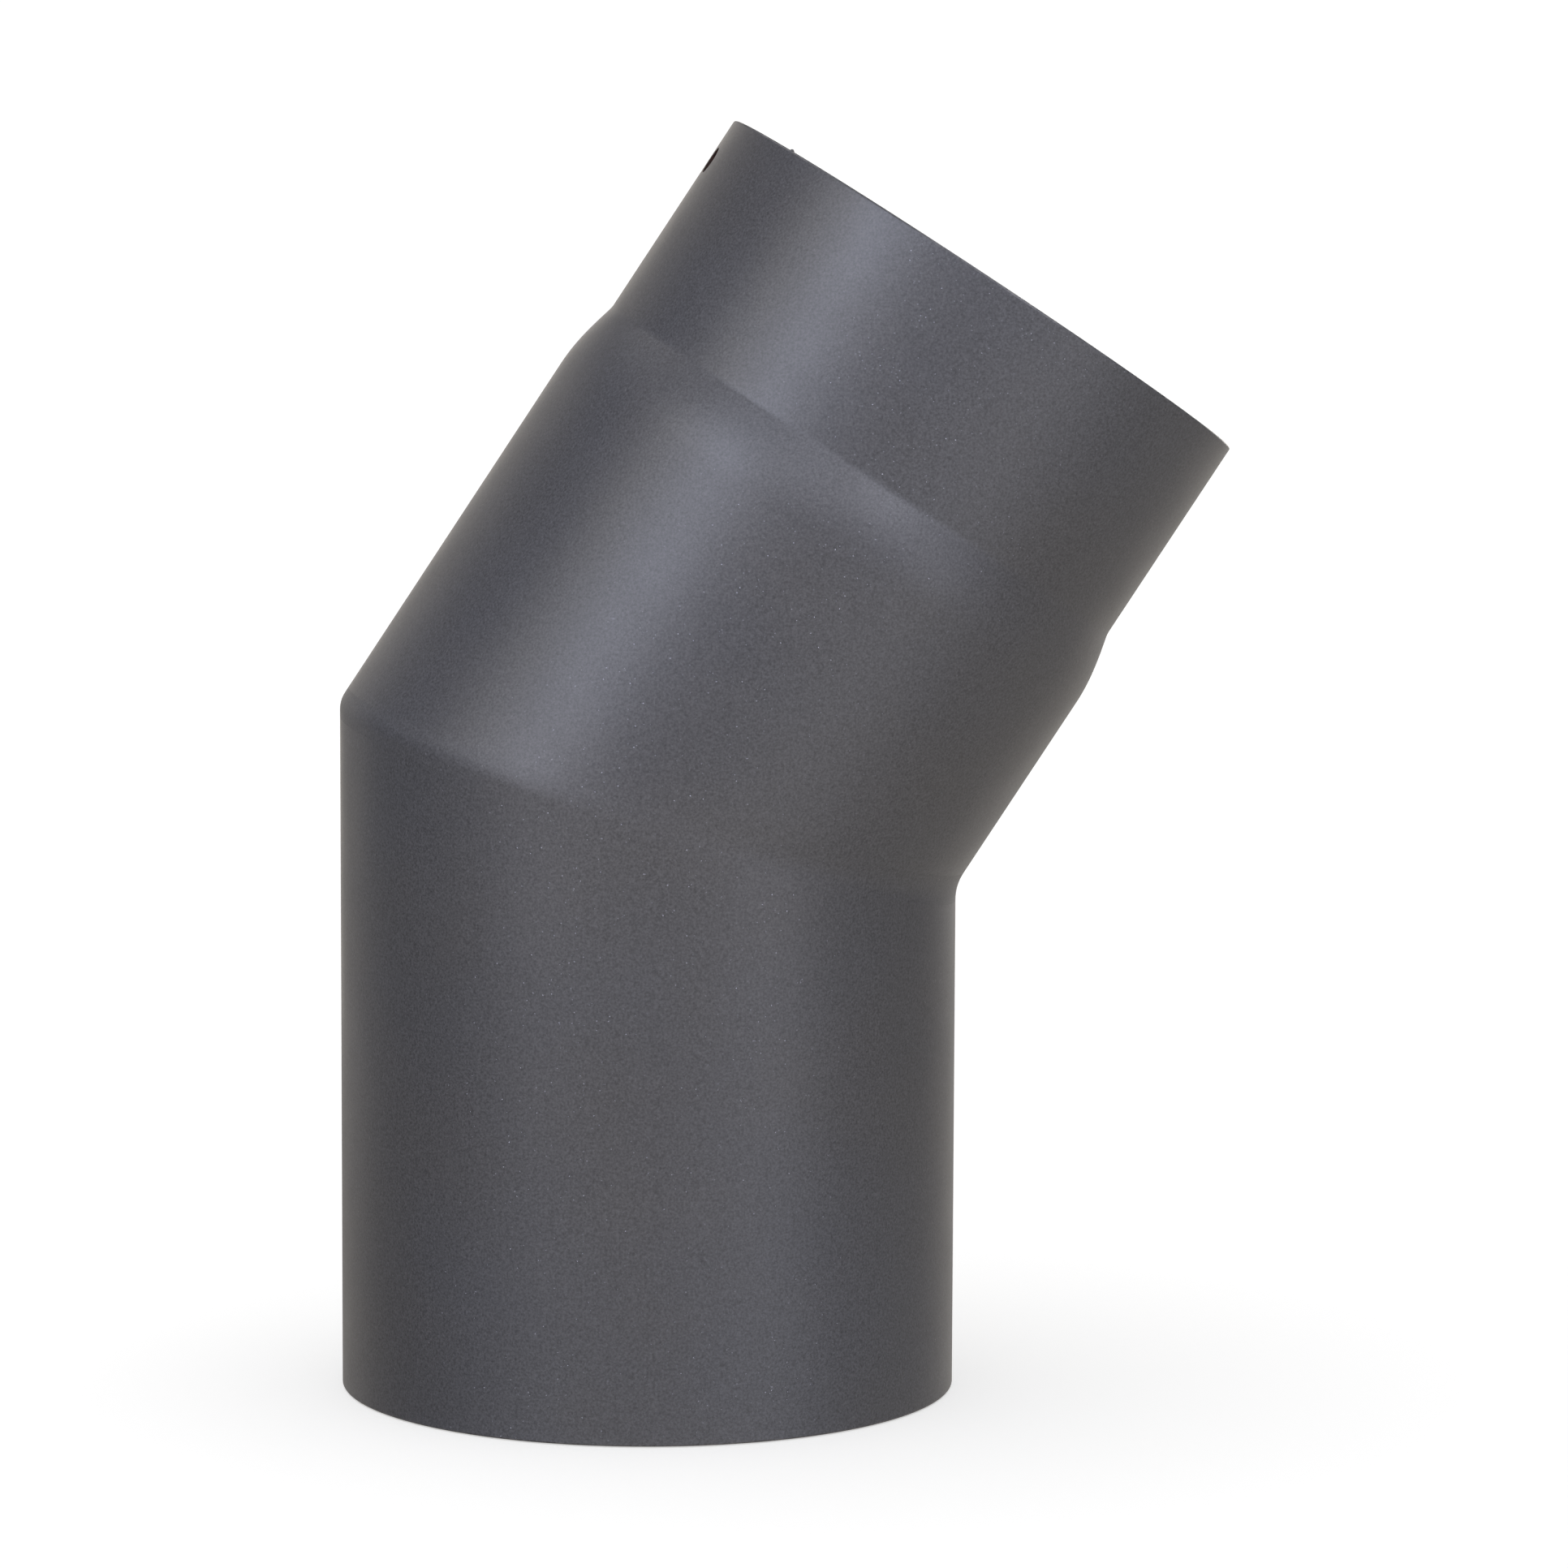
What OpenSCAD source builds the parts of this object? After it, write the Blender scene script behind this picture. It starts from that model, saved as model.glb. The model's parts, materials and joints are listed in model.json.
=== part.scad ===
// Flue elbow for a stove pipe run: two legs of rolled 2 mm steel tube, cut on a
// mitre and welded into one smooth rigid bend. The lower leg is a plain socket
// of full bore. The upper leg is pressed down to a spigot that slips into the
// socket of the next pipe, and a small hole near its rim hangs the part up
// while it is painted.
//
// Frame: +Z runs up the lower leg from the socket mouth, whose centre is the
// origin. The upper leg leans towards +X, so the bend lies in the XZ plane, and
// the closing welds of the rolled tubes are on the +Y side. Units are mm.

/* [Pipe] */
// Bore of the socket end, which is the nominal size of the pipe
socket_bore = 150; // [110:1:200]
// Thickness of the rolled sheet
wall = 2; // [1.5:0.1:3]
// Depth of the true round zone that takes the next pipe's spigot
socket_depth = 60; // [40:1:70]

/* [Bend] */
// Angle that the flue turns through, in degrees
bend = 33.4; // [15:0.1:45]
// Socket rim to the centre of the mitre joint, along the lower axis
socket_leg = 150; // [140:0.1:300]
// Centre of the mitre joint to the spigot rim, along the upper axis
spigot_leg = 151.5; // [150:0.1:300]
// Distance to each side of the joint over which the weld is dressed round
weld_round = 4; // [2:0.1:6]

/* [Spigot] */
// How much smaller the spigot's outside is than the socket bore
spigot_clearance = 2; // [1:0.1:4]
// Straight length of the spigot, from its rim to the pressed shoulder
spigot_length = 55.5; // [40:0.1:60]
// Length of the pressed shoulder, from full size down to the spigot
shoulder_length = 18.5; // [10:0.1:25]

/* [Hanging hole] */
// Diameter of the hole
hole_diameter = 7; // [4:0.1:10]
// Rim of the spigot to the centre of the hole
hole_from_rim = 11.7; // [8:0.1:25]

/* [Closing welds] */
// Width of the weld that closes each rolled tube
seam_width = 3; // [2:0.1:6]

/* [Hidden] */
bore_r = socket_bore / 2;
outer_r = bore_r + wall;
spigot_r = bore_r - spigot_clearance / 2;
half = bend / 2;
// a modelling choice: the wall closes in by this much away from its sized ends, so each seat has a definite end
easing = 0.1;
// how far the mitre plane reaches above and below the joint's centre at the wall
rise = outer_r * tan(half);
// the shoulder, measured from the joint's centre
shoulder_end = spigot_leg - spigot_length;
shoulder_start = shoulder_end - shoulder_length;
shoulder_steps = 12;
// dressed joint: sections round the pipe, and points along each side of a section
ring_n = 144;
ring_out = 6;
ring_in = 4;
ring_loop = ring_out + ring_in + 2;
big = 4 * outer_r;
fn_round = 128;

steel = [0.30, 0.30, 0.31];
weld = [0.34, 0.34, 0.35];

// radius of the outer skin across the pressed shoulder, f from 0 to 1
function shoulder_r(f) = spigot_r + (outer_r - spigot_r) * sin(90 * (1 - f));
function shoulder_s(f) = shoulder_start + shoulder_length * f;

// wall of the lower leg before it is cut to the mitre
module lower_wall() {
  top = socket_leg + rise + 5;
  rotate_extrude($fn = fn_round)
    polygon([[bore_r, 0], [outer_r, 0], [outer_r, top], [bore_r - easing, top], [bore_r, socket_depth]]);
}

// wall of the upper leg in its own frame: joint centre at the origin, axis along Z
module upper_wall() {
  bottom = -rise - 5;
  outer = [for (i = [0:shoulder_steps]) let (f = i / shoulder_steps) [shoulder_r(f), shoulder_s(f)]];
  inner = [for (i = [shoulder_steps:-1:0]) let (f = i / shoulder_steps) [shoulder_r(f) - wall, shoulder_s(f)]];
  rotate_extrude($fn = fn_round)
    polygon(concat(
      [[outer_r, bottom]], outer, [[spigot_r, spigot_leg]],
      [[spigot_r - wall, spigot_leg]], inner, [[bore_r - easing, bottom]]));
}

// everything of the lower leg that lies beyond the dressed joint
module above_miter() {
  translate([0, 0, socket_leg - weld_round]) rotate([0, half, 0])
    translate([-big, -big, 0]) cube([2 * big, 2 * big, big]);
}

// the same for the upper leg, in its own frame
module below_miter() {
  translate([0, 0, weld_round]) rotate([0, -half, 0])
    translate([-big, -big, -big]) cube([2 * big, 2 * big, big]);
}

// the gap in a rolled tube that its closing weld fills
module seam_gap(from, to) {
  translate([-seam_width / 2, bore_r - spigot_clearance - 2 * wall, from])
    cube([seam_width, 4 * wall + 2 * spigot_clearance, to - from]);
}

// puts a shape from the upper leg's own frame in its place
module on_upper_leg() {
  translate([0, 0, socket_leg]) rotate([0, bend, 0]) children();
}

module lower_tube() {
  color(steel) difference() {
    lower_wall();
    above_miter();
    seam_gap(-1, socket_leg + rise + 10);
  }
}

module upper_tube() {
  color(steel) on_upper_leg() difference() {
    upper_wall();
    below_miter();
    seam_gap(-rise - 10, spigot_leg + 1);
    // the hanging hole, on the outer side of the bend
    translate([0, 0, spigot_leg - hole_from_rim]) rotate([0, -90, 0])
      translate([0, 0, spigot_r - 3 * wall]) cylinder(d = hole_diameter, h = 6 * wall, $fn = 64);
  }
}

// one point of the dressed joint: round the pipe by a, along the curve by f
function joint_point(r, a, f) =
  let (x = r * cos(a), y = r * sin(a), z = socket_leg - r * cos(a) * tan(half),
       before = (1 - f) * (1 - f) * weld_round, after = f * f * weld_round)
  [x + after * sin(bend), y, z - before + after * cos(bend)];

// the circumferential weld, dressed flush into a rounded corner
module miter_weld() {
  points = [for (j = [0:ring_n - 1]) let (a = 360 * j / ring_n)
    each concat(
      [for (k = [0:ring_out]) joint_point(outer_r, a, k / ring_out)],
      [for (k = [ring_in:-1:0]) joint_point(bore_r - easing, a, k / ring_in)])];
  faces = [for (j = [0:ring_n - 1]) for (k = [0:ring_loop - 1])
    let (n = ring_loop, j2 = (j + 1) % ring_n, k2 = (k + 1) % n,
         p = j * n + k, q = j * n + k2, s = j2 * n + k2, t = j2 * n + k)
    each [[p, q, s], [p, s, t]]];
  color(weld) polyhedron(points = points, faces = faces, convexity = 6);
}

module lower_seam_weld() {
  color(weld) difference() {
    intersection() {
      lower_wall();
      seam_gap(-1, socket_leg + rise + 10);
    }
    above_miter();
  }
}

module upper_seam_weld() {
  color(weld) on_upper_leg() difference() {
    intersection() {
      upper_wall();
      seam_gap(-rise - 10, spigot_leg + 1);
    }
    below_miter();
  }
}

lower_tube();
upper_tube();
miter_weld();
lower_seam_weld();
upper_seam_weld();
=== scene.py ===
import json
import math

import bpy
import numpy as np
from mathutils import Matrix, Vector


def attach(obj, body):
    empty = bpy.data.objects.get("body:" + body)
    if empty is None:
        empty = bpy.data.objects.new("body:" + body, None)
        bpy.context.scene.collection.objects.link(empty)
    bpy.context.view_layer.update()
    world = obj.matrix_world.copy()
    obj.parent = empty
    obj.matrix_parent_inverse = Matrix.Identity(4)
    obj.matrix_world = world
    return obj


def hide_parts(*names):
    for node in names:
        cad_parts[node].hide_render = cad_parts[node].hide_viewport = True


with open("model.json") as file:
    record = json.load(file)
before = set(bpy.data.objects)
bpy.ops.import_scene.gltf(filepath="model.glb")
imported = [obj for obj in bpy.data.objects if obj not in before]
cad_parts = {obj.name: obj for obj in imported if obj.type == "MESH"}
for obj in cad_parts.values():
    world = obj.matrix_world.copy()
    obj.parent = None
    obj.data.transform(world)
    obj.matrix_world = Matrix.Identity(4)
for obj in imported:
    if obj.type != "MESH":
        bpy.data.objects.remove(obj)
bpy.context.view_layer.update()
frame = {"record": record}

# ---------------------------------------------------------------- dimensions
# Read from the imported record's mounts, in metres, so that every piece sits
# where the CAD says.
mounts = {m["name"]: m for m in frame["record"]["mounts"]}


def radius_of(name):
    return mounts[name]["dims"]["r_mm"] / 1000


MM = 0.001
R_BORE = radius_of("socket")
R_SPIGOT = radius_of("spigot")
WALL = R_SPIGOT - radius_of("outlet")
R_OUT = R_BORE + WALL
AXIS = np.array(mounts["spigot"]["axis"], float)
AXIS /= np.linalg.norm(AXIS)
RIM = np.array(mounts["spigot"]["pos_m"], float)
BEND = math.atan2(AXIS[0], AXIS[2])
SPIGOT_LEG = RIM[0] / AXIS[0]
SOCKET_LEG = RIM[2] - SPIGOT_LEG * AXIS[2]
SPIGOT_LENGTH = mounts["spigot"]["dims"]["length_mm"] / 1000
SHOULDER = 18.5 * MM
WELD_ROUND = 4.0 * MM  # the dressed zone on either side of the joint
CORNER = 2.1 * MM  # how far from the joint the corner begins to round, at the back of the bend
THROAT = 3.9 * MM  # the same in its throat
T_HALF = math.tan(BEND / 2)
SHOULDER_END = SPIGOT_LEG - SPIGOT_LENGTH
SHOULDER_START = SHOULDER_END - SHOULDER
HOLE_R = radius_of("hanging_hole")
HOLE_POS = np.array(mounts["hanging_hole"]["pos_m"], float)

X = np.array([1.0, 0, 0])
Y = np.array([0, 1.0, 0])
Z = np.array([0, 0, 1.0])
JOINT = np.array([0, 0, SOCKET_LEG])
UX = np.array([math.cos(BEND), 0, -math.sin(BEND)])
HOLE_S = float((HOLE_POS - JOINT) @ AXIS)

EDGE = 0.3 * MM  # deburred inner edge of the cut sheet
EDGE_OUT = 0.6 * MM  # its outer edge, rounded further by the paint
FILLET = 0.9 * MM  # half length of the rounding at the shoulder's knee
SEAM_HALF = math.asin(1.5 * MM / R_OUT)  # half width of the closing weld, as an angle

# ---------------------------------------------------------------- surfaces
# A skin is a function of the angle round the pipe and the distance along the
# leg. Normals are taken from the functions themselves, so neighbouring pieces
# shade as one painted surface.


def shoulder_radius(s):
    """Outer radius along the upper leg: full size, pressed shoulder, spigot."""
    s = np.asarray(s, float)
    f = np.clip((s - SHOULDER_START) / SHOULDER, 0, 1)
    r = R_SPIGOT + (R_OUT - R_SPIGOT) * np.sin(math.pi / 2 * (1 - f))
    a, b = SHOULDER_END - FILLET, SHOULDER_END + FILLET
    fa = (a - SHOULDER_START) / SHOULDER
    ra = R_SPIGOT + (R_OUT - R_SPIGOT) * math.sin(math.pi / 2 * (1 - fa))
    ma = -(R_OUT - R_SPIGOT) * math.cos(math.pi / 2 * (1 - fa)) * math.pi / 2 / SHOULDER
    h = np.clip((s - a) / (b - a), 0, 1)
    blend = (
        (2 * h**3 - 3 * h**2 + 1) * ra
        + (h**3 - 2 * h**2 + h) * (b - a) * ma
        + (-2 * h**3 + 3 * h**2) * R_SPIGOT
    )
    return np.where((s > a) & (s < b), blend, r)


def place(origin, ex, ez, r, a, s):
    r, a, s = np.broadcast_arrays(r, a, s)
    return (
        origin
        + (r * np.cos(a))[..., None] * ex
        + (r * np.sin(a))[..., None] * Y
        + s[..., None] * ez
    )


def ripple(q, s, size, pitch, seed):
    """The scale-like ripples of a weld run, as a height. q runs -1 to 1 across the run."""
    wander = 0.35 * np.sin(s / (11 * MM) + seed) + 0.2 * np.sin(s / (4.3 * MM) + 2 * seed)
    phase = (s + 0.55 * pitch * np.sqrt(np.clip(1 - 0.9 * q**2, 0, 1))) / pitch + wander
    turn = 2 * math.pi * phase
    return size * (0.5 + 0.42 * np.sin(turn) + 0.12 * np.sin(2 * turn + 0.9))


def ease(x):
    x = np.clip(x, 0, 1)
    return x * x * (3 - 2 * x)


def bead(a, s, s_rim, s_cut, height, rough, on_spigot):
    """Height of the closing weld over the sheet. It is dressed flat near the rim and near the joint."""
    q = np.clip((a - math.pi / 2) / SEAM_HALF, -1, 1)
    crown = (1 - q**2) ** 1.5
    fade = ease((np.abs(s_rim - s) - EDGE_OUT) / (7 * MM)) * ease((np.abs(s_cut - s) - 0.5 * MM) / (7 * MM))
    if on_spigot:
        fade = fade * (1 - 0.7 * ease((s - (SHOULDER_START - 4 * MM)) / (SHOULDER + 4 * MM)))
    return crown * fade * (height + ripple(q, s, rough, 1.9 * MM, 1.0))


class Leg:
    """One leg of the elbow in its own frame. cut(r, a) is where the dressed joint begins."""

    def __init__(self, upper):
        self.upper = upper
        self.o, self.ex, self.ez = (JOINT, UX, AXIS) if upper else (np.zeros(3), X, Z)
        self.rim = SPIGOT_LEG if upper else 0.0
        self.to_rim = 1.0 if upper else -1.0

    def radius(self, s):
        return shoulder_radius(s) if self.upper else np.full(np.shape(s), R_OUT)

    def cut(self, r, a):
        if self.upper:
            return WELD_ROUND + r * np.cos(a) * T_HALF
        return SOCKET_LEG - WELD_ROUND - r * np.cos(a) * T_HALF

    def outer(self, a, s, seam=False):
        r = self.radius(s)
        if seam:
            r = r + bead(a, s, self.rim, self.cut(R_OUT, math.pi / 2), 0.34 * MM, 0.20 * MM, self.upper)
        return place(self.o, self.ex, self.ez, r, a, s)

    def inner(self, a, s, seam=False):
        r = self.radius(s) - WALL
        if seam:
            r = r - bead(a, s, self.rim, self.cut(R_OUT, math.pi / 2), 0.16 * MM, 0.14 * MM, self.upper)
        return place(self.o, self.ex, self.ez, r, a, s)


def normals(fn, a, s):
    """Unit normals of a surface given as a function of two numbers."""
    h = 1e-6
    du = fn(a + h, s) - fn(a - h, s)
    dv = fn(a, s + h) - fn(a, s - h)
    n = np.cross(du, dv)
    return n / np.linalg.norm(n, axis=-1, keepdims=True)


# ---------------------------------------------------------------- mesh maker


class Shell:
    """Collects faces with a normal at every corner, then welds the points into one closed mesh."""

    def __init__(self):
        self.corners, self.norms, self.sizes, self.mats = [], [], [], []

    def face(self, pts, nrm, mat=0):
        self.corners.append(np.asarray(pts, float))
        self.norms.append(np.asarray(nrm, float))
        self.sizes.append(len(pts))
        self.mats.append(mat)

    def grid(self, p, n, out=None, mat=0, keep=None):
        """Quads over a grid of points. n holds a normal for each point, or is one flat direction. out turns n."""
        p = np.asarray(p, float)
        n = np.asarray(n, float)
        if n.ndim == 1:
            n = np.broadcast_to(n, p.shape)
        if out is not None and np.mean(np.sum(n * out, -1)) < 0:
            n = -n
        quads = np.stack([p[:-1, :-1], p[1:, :-1], p[1:, 1:], p[:-1, 1:]], 2)
        qn = np.stack([n[:-1, :-1], n[1:, :-1], n[1:, 1:], n[:-1, 1:]], 2)
        fn = np.cross(quads[:, :, 2] - quads[:, :, 0], quads[:, :, 3] - quads[:, :, 1])
        flip = np.sum(fn * qn.mean(2), -1) < 0
        quads[flip] = quads[flip][:, ::-1]
        qn[flip] = qn[flip][:, ::-1]
        for i in range(quads.shape[0]):
            for j in range(quads.shape[1]):
                if keep is None or keep[i, j]:
                    self.face(quads[i, j], qn[i, j], mat)

    def polygon(self, pts, direction, mat=0):
        pts = np.asarray(pts, float)
        n = np.zeros(3)
        for i in range(len(pts)):
            n += np.cross(pts[i], pts[(i + 1) % len(pts)])
        if n @ direction < 0:
            pts = pts[::-1]
        self.face(pts, np.broadcast_to(direction / np.linalg.norm(direction), pts.shape), mat)

    def build(self, name, materials, cell=1e-6):
        p = np.concatenate(self.corners)
        n = np.concatenate(self.norms)
        key = np.floor(p / cell + 0.377).astype(np.int64)
        _, first, index = np.unique(key, axis=0, return_index=True, return_inverse=True)
        index = index.reshape(-1)
        verts = p[first]
        faces, nrm, mats, at = [], [], [], 0
        for size, mat in zip(self.sizes, self.mats):
            ids = index[at : at + size]
            keepers = [k for k in range(size) if ids[k] != ids[k - 1]]
            if len(keepers) >= 3:
                faces.append([int(ids[k]) for k in keepers])
                nrm.append(n[at : at + size][keepers])
                mats.append(mat)
            at += size
        mesh = bpy.data.meshes.new(name)
        mesh.from_pydata(verts.tolist(), [], faces)
        mesh.polygons.foreach_set("material_index", mats)
        mesh.polygons.foreach_set("use_smooth", [True] * len(faces))
        for m in materials:
            mesh.materials.append(m)
        mesh.update()
        if len(mesh.loops) == sum(len(f) for f in faces):
            mesh.normals_split_custom_set(np.concatenate(nrm).tolist())
        obj = bpy.data.objects.new(name, mesh)
        bpy.context.scene.collection.objects.link(obj)
        return obj


def steps(a, b, n):
    return [a + (b - a) * k / n for k in range(n + 1)]


# ---------------------------------------------------------------- pieces

PATCH = 7.0 * MM  # half size of the fine patch round the hanging hole
PATCH_N = 12
NIB_ANGLE = math.radians(211.3)
NIB_W = 0.42 * MM
NIB_H = 0.45 * MM


def angles_round(n, patch, nib):
    """Angles of the columns of a rolled tube, from one side of its closing weld to the other."""
    lo, hi = math.pi / 2 + SEAM_HALF, math.pi * 5 / 2 - SEAM_HALF
    cols = steps(lo, hi, n)
    if patch:
        half = PATCH / R_SPIGOT
        cols = [c for c in cols if abs(c - math.pi) > half * 1.08]
        cols += steps(math.pi - half, math.pi + half, PATCH_N)
    if nib:
        half = 2.0 * MM / R_SPIGOT
        cols = [c for c in cols if abs(c - NIB_ANGLE) > half * 1.15]
        cols += steps(NIB_ANGLE - half, NIB_ANGLE + half, 14)
    return np.array(sorted(cols))


def nib(a):
    """A tiny drip of hardened paint that stands on the spigot's rim."""
    d = (a - NIB_ANGLE) * R_SPIGOT
    g = NIB_H * np.exp(-((d / NIB_W) ** 4))
    return g, g * -4 * d**3 / NIB_W**4


def rim_grid(leg, cols, seam, with_nib):
    """The cut end of the sheet: rounded outer edge, flat, rounded inner edge."""
    ro = np.array([float(leg.radius(np.array(leg.rim)))])[0]
    ri = ro - WALL
    rows, norm = [], []
    for k in range(7):
        b = math.pi / 2 * k / 6
        rows.append((ro - EDGE_OUT + EDGE_OUT * math.cos(b), leg.rim - leg.to_rim * (EDGE_OUT - EDGE_OUT * math.sin(b))))
        norm.append((math.cos(b), math.sin(b) * leg.to_rim))
    for f in (0.35, 0.7):
        rows.append((ro - EDGE_OUT - (WALL - EDGE_OUT - EDGE) * f, leg.rim))
        norm.append((0.0, leg.to_rim))
    for k in range(6):
        b = math.pi / 2 * (1 - k / 5)
        rows.append((ri + EDGE - EDGE * math.cos(b), leg.rim - leg.to_rim * (EDGE - EDGE * math.sin(b))))
        norm.append((-math.cos(b), math.sin(b) * leg.to_rim))
    p = np.zeros((len(rows), len(cols), 3))
    n = np.zeros_like(p)
    er = np.cos(cols)[:, None] * leg.ex + np.sin(cols)[:, None] * Y
    et = -np.sin(cols)[:, None] * leg.ex + np.cos(cols)[:, None] * Y
    g, dg = nib(cols) if with_nib else (np.zeros(len(cols)), np.zeros(len(cols)))
    for k, ((r, s), (nr, ns)) in enumerate(zip(rows, norm)):
        w = 0.0 if k in (0, len(rows) - 1) else min(1.0, max(0.0, (r - ri - 0.7 * MM) / (0.6 * MM))) * min(1, k / 2)
        p[k] = place(leg.o, leg.ex, leg.ez, np.full(len(cols), r), cols, s + g * w)
        v = er * nr + leg.ez * ns - et * (dg * w * abs(ns))[:, None]
        n[k] = v / np.linalg.norm(v, axis=-1, keepdims=True)
    return p, n


def hole_faces(shell, leg, cols, row_s, mat_out, mat_in, mat_bore):
    """The hanging hole: a fine round patch in both skins, and the edge between them."""
    e2 = 0.14 * MM
    angs = [c for c in cols if abs(c - math.pi) <= PATCH / R_SPIGOT * 1.0001]
    ring = (
        [(a, row_s[0]) for a in angs[:-1]]
        + [(angs[-1], s) for s in row_s[:-1]]
        + [(a, row_s[-1]) for a in angs[:0:-1]]
        + [(angs[0], s) for s in row_s[:0:-1]]
    )
    ring.append(ring[0])
    for outer_skin, r, mat in ((True, R_SPIGOT, mat_out), (False, R_SPIGOT - WALL, mat_in)):
        pts = []
        for f in (0, 0.22, 0.42, 0.6, 0.76, 0.89, 1.0):
            line = []
            for a, s in ring:
                tau = math.atan2(s - HOLE_S, R_SPIGOT * (a - math.pi))
                o = (HOLE_R + e2) * math.cos(tau)
                ca, cs = math.pi + math.asin(o / r), HOLE_S + (HOLE_R + e2) * math.sin(tau)
                line.append((a + (ca - a) * f, s + (cs - s) * f))
            pts.append(line)
        pts = np.array(pts)
        fn = leg.outer if outer_skin else leg.inner
        p = fn(pts[..., 0], pts[..., 1])
        n = normals(fn, pts[..., 0], pts[..., 1])
        er = np.cos(pts[..., 0])[..., None] * leg.ex + np.sin(pts[..., 0])[..., None] * Y
        shell.grid(p, n, er if outer_skin else -er, mat)
    taus = np.array([math.atan2(s - HOLE_S, R_SPIGOT * (a - math.pi)) for a, s in ring])
    prof = []
    for k in range(5):
        b = math.pi / 2 * k / 4
        prof.append((HOLE_R + e2 - e2 * math.sin(b), "out", e2 - e2 * math.cos(b), math.cos(b), -math.sin(b)))
    for k in range(5):
        b = math.pi / 2 * (1 - k / 4)
        prof.append((HOLE_R + e2 - e2 * math.sin(b), "in", e2 - e2 * math.cos(b), -math.cos(b), -math.sin(b)))
    p = np.zeros((len(prof), len(taus), 3))
    n = np.zeros_like(p)
    out_dir = -leg.ex
    for k, (rho, side, depth, n_out, n_rho) in enumerate(prof):
        o = rho * np.cos(taus)
        skin = np.sqrt((R_SPIGOT if side == "out" else R_SPIGOT - WALL) ** 2 - o**2)
        h = skin - depth if side == "out" else skin + depth
        p[k] = leg.o + h[:, None] * out_dir - o[:, None] * Y + (HOLE_S + rho * np.sin(taus))[:, None] * leg.ez
        radial = -np.cos(taus)[:, None] * Y + np.sin(taus)[:, None] * leg.ez
        n[k] = out_dir * n_out + radial * n_rho
    shell.grid(p, n / np.linalg.norm(n, axis=-1, keepdims=True), None, mat_bore)


def leg_piece(name, leg, cols, materials, seam=False, hole=False, with_nib=False, fine=None):
    """A closed wall between two angles: outer skin, cut end, inner skin, rim and the two long edges."""
    shell = Shell()
    cols = np.asarray(cols)
    end_s = leg.rim - leg.to_rim * EDGE
    if leg.upper:
        fixed = steps(SHOULDER_START, SHOULDER_END - FILLET, 14) + steps(SHOULDER_END - FILLET, SHOULDER_END + FILLET, 6)[1:]
        start = SHOULDER_START
        n_free = 10
        patch_rows = steps(HOLE_S - PATCH, HOLE_S + PATCH, PATCH_N)
        fixed += steps(fixed[-1], patch_rows[0], 6)[1:] + patch_rows[1:] + steps(patch_rows[-1], end_s, 3)[1:]
    else:
        fixed, start, n_free, patch_rows = steps(60 * MM, end_s, 8), 60 * MM, 10, None
    if fine:
        dense = [fixed[0]]
        for s in fixed[1:]:
            k = max(1, int(round(abs(s - dense[-1]) / fine)))
            dense += steps(dense[-1], s, k)[1:]
        fixed = dense
        n_free = max(n_free, int(round(abs(start - SOCKET_LEG if not leg.upper else start) / fine)))
    p_rows = {}
    for which, fn in (("out", leg.outer), ("in", leg.inner)):
        r0 = float(leg.radius(np.array(start))) - (0 if which == "out" else WALL)
        cut = leg.cut(r0, cols)
        ends = fixed[:-1] + [leg.rim - leg.to_rim * EDGE_OUT] if which == "out" else fixed
        s = np.array([cut + (start - cut) * k / n_free for k in range(n_free)] + [np.full(len(cols), v) for v in ends])
        a = np.broadcast_to(cols, s.shape)
        f = (lambda u, v, fn=fn: fn(u, v, True)) if seam else fn
        p, n = f(a, s), normals(f, a, s)
        er = np.cos(a)[..., None] * leg.ex + np.sin(a)[..., None] * Y
        keep = None
        if hole:
            keep = np.ones((s.shape[0] - 1, s.shape[1] - 1), bool)
            mid_s = (s[:-1, :-1] + s[1:, 1:]) / 2
            mid_a = (a[:-1, :-1] + a[1:, 1:]) / 2
            keep[(np.abs(mid_s - HOLE_S) < PATCH) & (np.abs(mid_a - math.pi) < PATCH / R_SPIGOT)] = False
        shell.grid(p, n, er if which == "out" else -er, 0 if which == "out" else 1, keep)
        p_rows[which] = p
    rim_p, rim_n = rim_grid(leg, cols, seam, with_nib)
    shell.grid(rim_p, rim_n, None, 0)
    if hole:
        hole_faces(shell, leg, cols, patch_rows, 0, 1, 2)
    # the face that meets the dressed joint
    away = -(np.array([math.sin(BEND / 2), 0, math.cos(BEND / 2)])) * (1 if leg.upper else -1)
    shell.grid(np.stack([p_rows["out"][0], p_rows["in"][0]]), away, None, 0)
    # the two long edges
    for i, sign in ((0, -1), (-1, 1)):
        d = sign * (-math.sin(cols[i]) * leg.ex + math.cos(cols[i]) * Y)
        shell.grid(np.stack([p_rows["out"][:, i], p_rows["in"][:, i]]), d, None, 0)
        shell.polygon(rim_p[:, i], d)
    return shell.build(name, materials)


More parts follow.
